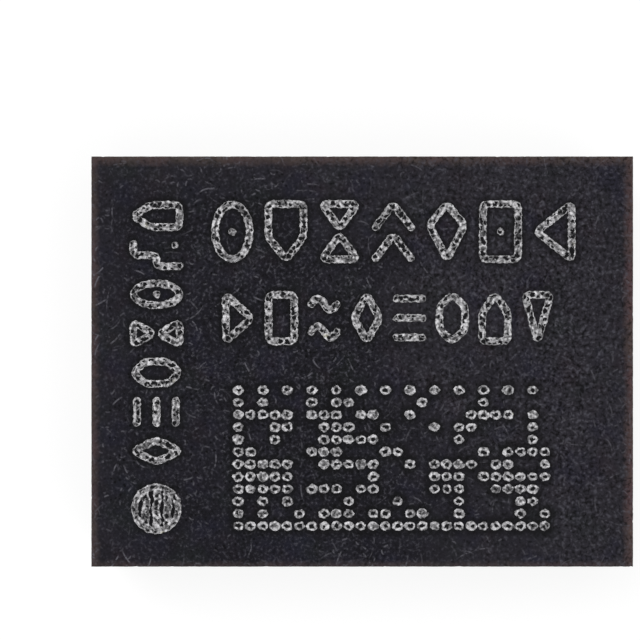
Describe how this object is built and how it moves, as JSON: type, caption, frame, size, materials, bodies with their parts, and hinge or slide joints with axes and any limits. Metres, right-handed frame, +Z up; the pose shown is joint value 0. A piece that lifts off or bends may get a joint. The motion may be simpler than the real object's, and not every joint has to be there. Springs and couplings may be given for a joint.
{
  "type": "moulded land-grid power supply chip",
  "caption": "Flat rectangular black moulded power module with laser-marked top and a ring of gold solder lands round thermal lands underneath.",
  "frame": {"origin": "centre of the underside, on the plane of the solder lands", "axes": "+X along the long side, +Y along the short side away from the corner with the first land, +Z up through the moulded top"},
  "size_m": [0.0032, 0.0024, 0.0007],
  "materials": {
    "mould": "matte",
    "mask": "satin",
    "laminate": "matte",
    "gold": "satin",
    "silicon": "gloss",
    "ceramic": "satin",
    "glaze": "gloss",
    "ferrite": "matte",
    "tin": "satin"
  },
  "bodies": {
    "root": {"mould_cap": "mould", "lower_solder_mask": "mask", "upper_solder_mask": "mask", "laminate_board": "laminate", "regulator_die": "silicon", "land_01": "gold", "land_02": "gold", "land_03": "gold", "land_04": "gold", "land_05": "gold", "land_06": "gold", "land_07": "gold", "land_08": "gold", "land_09": "gold", "land_10": "gold", "land_11": "gold", "land_12": "gold", "land_13": "gold", "land_14": "gold", "land_15": "gold", "land_16": "gold", "land_17": "gold", "land_18": "gold", "land_19": "gold", "land_20": "gold", "thermal_land_1": "gold", "thermal_land_2": "gold", "thermal_land_3": "gold", "thermal_land_4": "gold", "thermal_land_5": "gold", "thermal_land_6": "gold", "power_inductor_body": "ferrite", "power_inductor_end_a": "tin", "power_inductor_end_b": "tin", "input_capacitor_1_body": "ceramic", "input_capacitor_1_end_a": "tin", "input_capacitor_1_end_b": "tin", "input_capacitor_2_body": "ceramic", "input_capacitor_2_end_a": "tin", "input_capacitor_2_end_b": "tin", "supply_capacitor_body": "ceramic", "supply_capacitor_end_a": "tin", "supply_capacitor_end_b": "tin", "output_capacitor_1_body": "ceramic", "output_capacitor_1_end_a": "tin", "output_capacitor_1_end_b": "tin", "output_capacitor_2_body": "ceramic", "output_capacitor_2_end_a": "tin", "output_capacitor_2_end_b": "tin", "boost_capacitor_body": "ceramic", "boost_capacitor_end_a": "tin", "boost_capacitor_end_b": "tin", "feedback_resistor_1_body": "glaze", "feedback_resistor_1_end_a": "tin", "feedback_resistor_1_end_b": "tin", "feedback_resistor_2_body": "glaze", "feedback_resistor_2_end_a": "tin", "feedback_resistor_2_end_b": "tin"}
  },
  "joints": []
}
